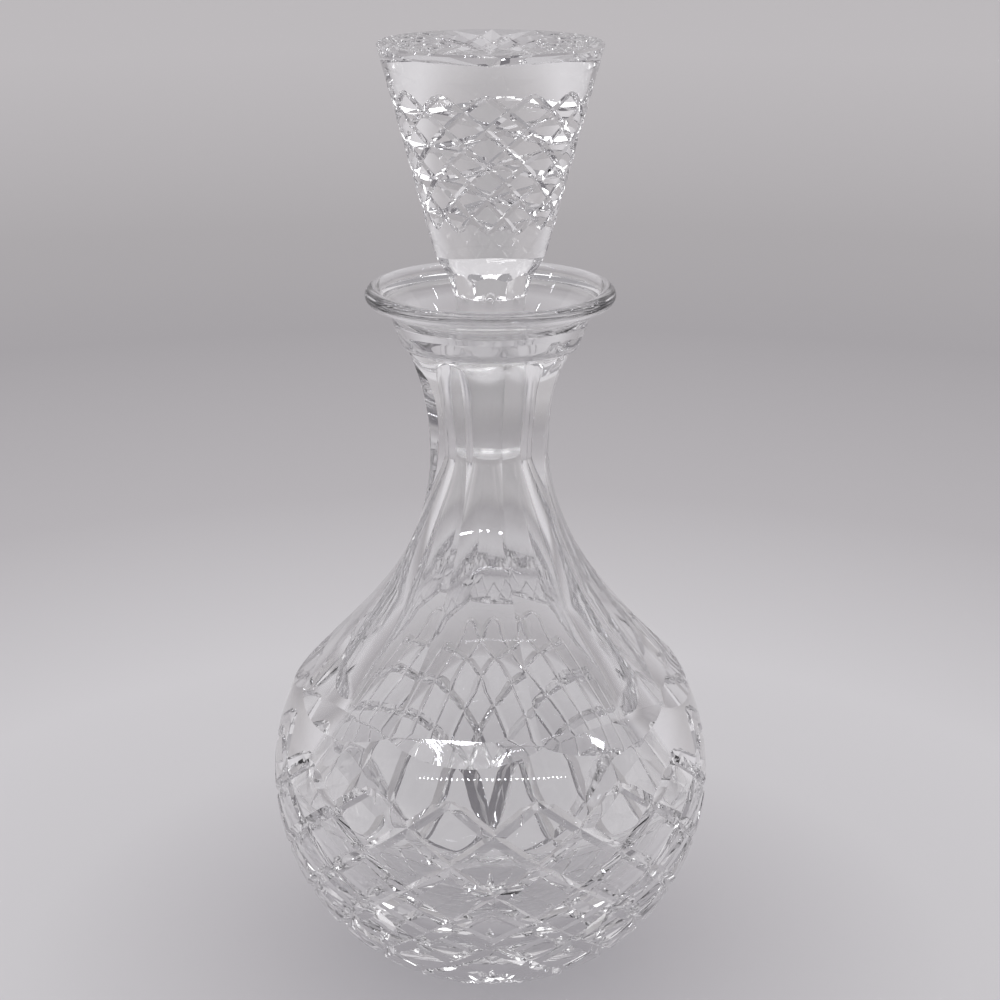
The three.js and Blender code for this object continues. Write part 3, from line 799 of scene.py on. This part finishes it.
def paper_sweep():
    """A profile turned round the axis: a flat, a quarter circle and an upright wall."""
    angle = np.radians(np.linspace(0, 90, SWEEP_CURVE_RINGS))
    curve = np.stack((SWEEP_FLAT + SWEEP_CURVE * np.sin(angle), SWEEP_CURVE * (1 - np.cos(angle))), axis=-1)
    profile = [(0, 0), (SWEEP_MIDDLE, 0), *curve, (SWEEP_FLAT + SWEEP_CURVE, SWEEP_HEIGHT)]
    azimuth = np.arange(SWEEP_COLUMNS) * 2 * math.pi / SWEEP_COLUMNS
    points = points_in_metres(revolved(profile, azimuth))
    here = np.arange(points[..., 0].size).reshape(points.shape[:2])
    right = np.roll(here, -1, axis=1)
    faces = np.stack((here[:-1], here[1:], right[1:], right[:-1]), axis=-1).reshape(-1, 4)
    sweep = new_object("paper_sweep", points.reshape(-1, 3), faces)
    sweep.data.shade_smooth()
    return sweep


sweep = paper_sweep()
print(f"paper sweep: {len(sweep.data.polygons)} faces")

# %% What the glass sees
# A room that only glass sees, painted on the paper's glow: painted reflections of light at the sides and above,
# and painted shade at the ends, the back and the front.
PAINTED_ROOM_ABOVE_FLOOR = 0.15
PAINTED_ROOM_SHADES = {
    "bright sides": {"axis": "X", "start": 0.45, "full": 0.85, "shade": "eceaee"},
    "dark ends": {"axis": "X", "start": 0.88, "full": 0.98, "shade": "77757a"},
    "plain back": {"axis": "Y", "start": 0.9, "full": 0.96, "shade": "b8b6b8"},
    "bright ceiling": {"axis": "Z", "start": 0.36, "full": 0.42, "shade": "efedf0"},
    "dim front": {"axis": "Y", "start": -0.2, "full": -0.5, "shade": "5e5c62"},
}


def painted_surroundings(tree, direction, painted_paper_colour):
    """Colour that glass sees in a direction, all of it painted: the paper's painted shade, mixed in turn with
    each painted light or painted shade of the room. The share of a shade rises as one part of the unit
    direction goes from its start to where it is full, times a share that rises from the floor upwards. Left and
    right count alike, by the part's size."""
    unit = add_node(tree, "ShaderNodeVectorMath", {0: direction}, operation="NORMALIZE").outputs[0]
    split = add_node(tree, "ShaderNodeSeparateXYZ", {0: unit}).outputs
    parts = {"X": calculate(tree, "ABSOLUTE", split["X"]), "Y": split["Y"], "Z": split["Z"]}
    above_floor = smooth_rise(tree, parts["Z"], 0, PAINTED_ROOM_ABOVE_FLOOR)
    colour = painted_paper_colour
    for room in PAINTED_ROOM_SHADES.values():
        rise = smooth_rise(tree, parts[room["axis"]], room["start"], room["full"])
        share = calculate(tree, "MULTIPLY", rise, above_floor)
        colour = mixed_colour(tree, share, colour, srgb(room["shade"]))
    return colour


def ray_masks(tree):
    """Two masks of 1 and 0: for rays that come off or through glass, and for rays from the camera."""
    ray = add_node(tree, "ShaderNodeLightPath").outputs
    return calculate(tree, "MAXIMUM", ray["Is Glossy Ray"], ray["Is Transmission Ray"]), ray["Is Camera Ray"]


print("the glass sees", ", ".join(PAINTED_ROOM_SHADES))

# %% Paper
# Painted light and shade by the distance from the axis plus the height: darker round the foot as a painted
# shadow, brightest some 150 to 240 mm out, darker again towards the far floor and lighter up the curve.
PAPER_GLOW = 0.75
PAPER_PAINTED_SHADES = {
    0: "a29fa4",
    55: "b6b3b7",
    150: "cccacd",
    240: "d0ced1",
    450: "bab7ba",
    800: "aca9ac",
    1050: "b3b0b2",
    1300: "c6c3c5",
}


def paper():
    """Matt paper whose painted light and shade follow a ramp of the distance from the axis plus the height. For
    the camera and the glass most of it glows in that painted shade, and the rest takes the lamps and the
    object's shadow. Rays from the glass see the glow mixed with the painted room."""
    material, tree = new_tree("paper_sweep_painted_light_and_shade")
    place = add_node(tree, "ShaderNodeTexCoord").outputs["Object"]
    height = add_node(tree, "ShaderNodeSeparateXYZ", {0: place}).outputs["Z"]
    outwards = calculate(tree, "ADD", from_axis(tree, place), height)
    reach = max(PAPER_PAINTED_SHADES)
    ramp = add_node(tree, "ShaderNodeValToRGB", {0: calculate(tree, "DIVIDE", outwards, reach * MM)})
    elements = ramp.color_ramp.elements
    elements[0].color, elements[-1].color = srgb(PAPER_PAINTED_SHADES[0]), srgb(PAPER_PAINTED_SHADES[reach])
    for distance in sorted(PAPER_PAINTED_SHADES)[1:-1]:
        elements.new(distance / reach).color = srgb(PAPER_PAINTED_SHADES[distance])
    painted_paper_colour = ramp.outputs["Color"]
    in_glass, in_camera = ray_masks(tree)
    seen_colour = mixed_colour(tree, in_glass, painted_paper_colour, painted_surroundings(tree, place, painted_paper_colour))
    matt = add_node(tree, "ShaderNodeBsdfDiffuse", {"Color": painted_paper_colour}).outputs[0]
    glow = add_node(tree, "ShaderNodeEmission", {"Color": seen_colour}).outputs[0]
    glow_share = calculate(tree, "MULTIPLY", calculate(tree, "MAXIMUM", in_camera, in_glass), PAPER_GLOW)
    shade = add_node(tree, "ShaderNodeMixShader", {0: glow_share, 1: matt, 2: glow}).outputs[0]
    add_node(tree, "ShaderNodeOutputMaterial", {"Surface": shade})
    print(f"{material.name}: {len(elements)} shades over {reach} mm")
    return material


sweep.data.materials.append(paper())

# %% World
ROOM_COLOUR = "e6e4e7"
ROOM_COLOUR_IN_GLASS = "a3a1a5"

world = bpy.data.worlds.new("soft_room")
scene.world = world
world.use_nodes = True
room = world.node_tree
room.nodes.clear()
ceiling = mixed_colour(room, ray_masks(room)[0], srgb(ROOM_COLOUR), srgb(ROOM_COLOUR_IN_GLASS))
sky = add_node(room, "ShaderNodeBackground", {"Color": ceiling, "Strength": 1}).outputs[0]
add_node(room, "ShaderNodeOutputWorld", {"Surface": sky})
print("world:", world.name)

# %% Ceiling lamp
def softbox(name, place, target, width, depth, radiance):
    """A rectangular lamp that faces a target. Its watts are radiance times area times pi."""
    lamp = bpy.data.lights.new(name, "AREA")
    lamp.shape = "RECTANGLE"
    lamp.size, lamp.size_y = width * MM, depth * MM
    lamp.energy = radiance * math.pi * width * depth * MM**2
    holder = bpy.data.objects.new(name, lamp)
    holder.location = [value * MM for value in place]
    aim = Vector(target) * MM - holder.location
    holder.rotation_euler = aim.to_track_quat("-Z", "Y").to_euler()
    holder.visible_camera = False
    scene.collection.objects.link(holder)
    print(f"{name}: {lamp.energy:.2f} W")


softbox("ceiling_softbox", place=(0, 100, 1200), target=(0, 0, 0), width=900, depth=700, radiance=2.2)

# %% [markdown]
# ## Rows of small lamps
#
# The glass in the photograph mirrors rows of small bright lamps, as dotted lines on the bowl, and a long
# one as the streak on a shoulder facet. Area lamps could give them, but so many make a render slow and
# noisy. One mesh of small shining squares is enough, because only the glass sees it: the camera and the
# paper don't.

# %% Small lamps
LAMP_COLOUR = "f8f8ff"
LAMP_STRENGTH = 30
LAMP_ROWS = (
    {"y": 110, "z": 580, "reach": 450, "pitch": 31, "size": 7},
    {"y": 60, "z": 600, "reach": 450, "pitch": 31, "size": 7},
    {"y": -900, "z": 370, "reach": 700, "pitch": 50, "size": 17, "upright": True},
    {"y": -133, "z": 700, "middle": -107, "reach": 45, "pitch": 3, "size": 3, "bend": 0.03},
)


def lamp_rows():
    """Square lamps in rows from left to right, flat or upright. A row's y falls by its bend times the square
    of the distance from its middle. The last row's lamps touch near its middle, where they shine as one
    tube, and part towards its ends."""
    flat = np.array(((-1, -1, 0), (-1, 1, 0), (1, 1, 0), (1, -1, 0))) / 2
    squares = []
    for row in LAMP_ROWS:
        along = np.arange(-row["reach"], row["reach"] + 1, row["pitch"])
        y = row["y"] - row.get("bend", 0) * along**2
        centres = np.stack((along + row.get("middle", 0), y, np.full(along.shape, row["z"])), axis=-1)
        corners = flat[:, (0, 2, 1)] if row.get("upright") else flat
        squares.append(centres[:, None] + corners * row["size"])
    points = np.concatenate(squares).reshape(-1, 3) * MM
    rows = new_object("lamp_rows", points, np.arange(len(points)).reshape(-1, 4))
    rows.visible_camera = rows.visible_diffuse = rows.visible_shadow = False
    material, tree = new_tree("small_bright_lamps")
    shine = add_node(tree, "ShaderNodeEmission", {"Color": srgb(LAMP_COLOUR), "Strength": LAMP_STRENGTH})
    add_node(tree, "ShaderNodeOutputMaterial", {"Surface": shine.outputs[0]})
    material.cycles.emission_sampling = "NONE"
    rows.data.materials.append(material)
    print(f"{len(rows.data.polygons)} small lamps in {len(LAMP_ROWS)} rows")
    return rows


lamp_rows()

# %% [markdown]
# ## The camera
#
# The photograph looks down on the decanter at 19 degrees from about 0.63 m. The camera could be placed by
# eye, but its pitch, distance and lens come from a fit to the object's outline, which makes each part line up.

# %% Camera
CAMERA_DISTANCE = 593
CAMERA_HEIGHT = 354
CAMERA_PITCH = 19
CAMERA_AZIMUTH = -1.2
FOCAL_SHARE = 2.082
SENSOR_WIDTH = 36
AXIS_LEFT_OF_MIDDLE = 0.0095

camera_data = bpy.data.cameras.new("camera")
camera_data.sensor_fit = "HORIZONTAL"
camera_data.sensor_width = SENSOR_WIDTH
camera_data.lens = SENSOR_WIDTH * FOCAL_SHARE
camera_data.shift_x = AXIS_LEFT_OF_MIDDLE
camera = bpy.data.objects.new("camera", camera_data)
camera_azimuth = math.radians(CAMERA_AZIMUTH)
camera.location = (
    CAMERA_DISTANCE * math.sin(camera_azimuth) * MM,
    -CAMERA_DISTANCE * math.cos(camera_azimuth) * MM,
    CAMERA_HEIGHT * MM,
)
camera.rotation_euler = (math.radians(90 - CAMERA_PITCH), 0, camera_azimuth)
scene.collection.objects.link(camera)
scene.camera = camera
print(f"camera: lens {camera_data.lens:.1f} mm, {camera.location.length:.2f} m from the foot")

# %% Colours and light paths
GLASS_BOUNCES = 24
GLOSSY_BOUNCES = 12

scene.view_settings.view_transform = "Standard"
scene.cycles.max_bounces = GLASS_BOUNCES
scene.cycles.transmission_bounces = GLASS_BOUNCES
scene.cycles.glossy_bounces = GLOSSY_BOUNCES
print("light passes through up to", GLASS_BOUNCES, "faces of glass")
